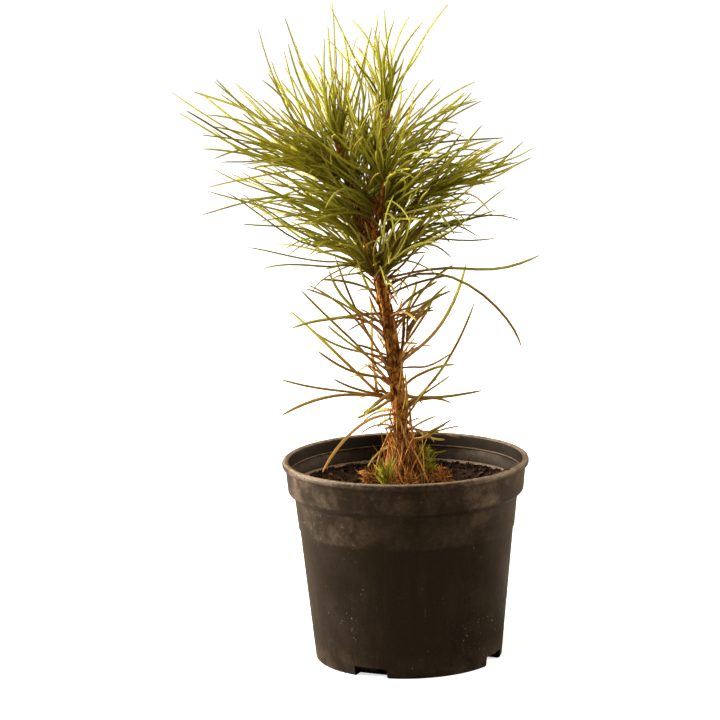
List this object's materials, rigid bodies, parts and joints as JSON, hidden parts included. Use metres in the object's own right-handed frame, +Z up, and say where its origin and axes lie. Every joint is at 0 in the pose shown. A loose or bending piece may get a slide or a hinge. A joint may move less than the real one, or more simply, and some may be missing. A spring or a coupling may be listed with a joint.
{
  "type": "potted pine tree",
  "caption": "Young long-needled pine with a leaning stem and a tufted crown, growing in soil in a round tapered black plastic nursery pot with a lipped collar.",
  "frame": {"origin": "centre of the flat underside of the pot, on the surface that it stands on", "axes": "+Z up, along the pot's axis; -Y is the front, from which the stem leans to the left; +X to the right"},
  "size_m": [0.2448, 0.2122, 0.4495],
  "materials": {
    "pot_plastic": "black moulded plastic, slightly glossy, dusty at the collar",
    "bark": "rough flaking orange-brown bark",
    "litter": "dead fibres and bark chips",
    "moss": "soft green moss and blades",
    "soil": "dark crumbly potting soil",
    "stray_needles": "dry yellow-brown pine needle",
    "needles": "satin green pine needle",
    "tip_needles": "satin young yellow-green pine needle"
  },
  "bodies": {
    "root": {"pot": "pot_plastic", "trunk": "bark", "right_leader": "bark", "left_branch": "bark", "right_branch": "bark", "back_branch": "bark", "front_branch": "bark", "left_spur": "bark", "right_spur": "bark", "dead_strand_left": "litter", "dead_strand_front": "litter", "dead_strand_right": "litter", "green_blades": "moss", "moss_tuft": "moss", "litter_left": "litter", "litter_front": "litter", "litter_right": "litter", "soil": "soil", "bark_chip_1": "litter", "bark_chip_2": "litter", "bark_chip_3": "litter", "bark_chip_4": "litter", "bark_chip_5": "litter", "spur_needles": "stray_needles", "left_needles": "stray_needles", "right_needles": "stray_needles", "right_spur_needles": "stray_needles", "long_needles": "stray_needles", "hanging_needles": "stray_needles", "low_right_needles": "needles", "low_back_right_needles": "needles", "low_back_left_needles": "needles", "low_left_needles": "needles", "low_front_left_needles": "needles", "low_front_right_needles": "needles", "mid_right_needles": "needles", "mid_back_needles": "needles", "mid_left_needles": "needles", "mid_front_left_needles": "needles", "mid_front_right_needles": "needles", "upper_left_needles": "needles", "upper_back_needles": "needles", "upper_front_needles": "needles", "leader_tip_needles": "tip_needles", "right_leader_right_needles": "needles", "right_leader_back_needles": "needles", "right_leader_front_needles": "needles", "right_leader_tip_needles": "tip_needles", "left_branch_front_needles": "needles", "left_branch_back_needles": "needles", "left_branch_tip_needles": "tip_needles", "right_branch_front_needles": "needles", "right_branch_back_needles": "needles", "right_branch_tip_needles": "tip_needles", "back_branch_left_needles": "needles", "back_branch_right_needles": "needles", "back_branch_tip_needles": "tip_needles", "front_branch_left_needles": "needles", "front_branch_right_needles": "needles", "front_branch_tip_needles": "tip_needles"}
  },
  "joints": []
}
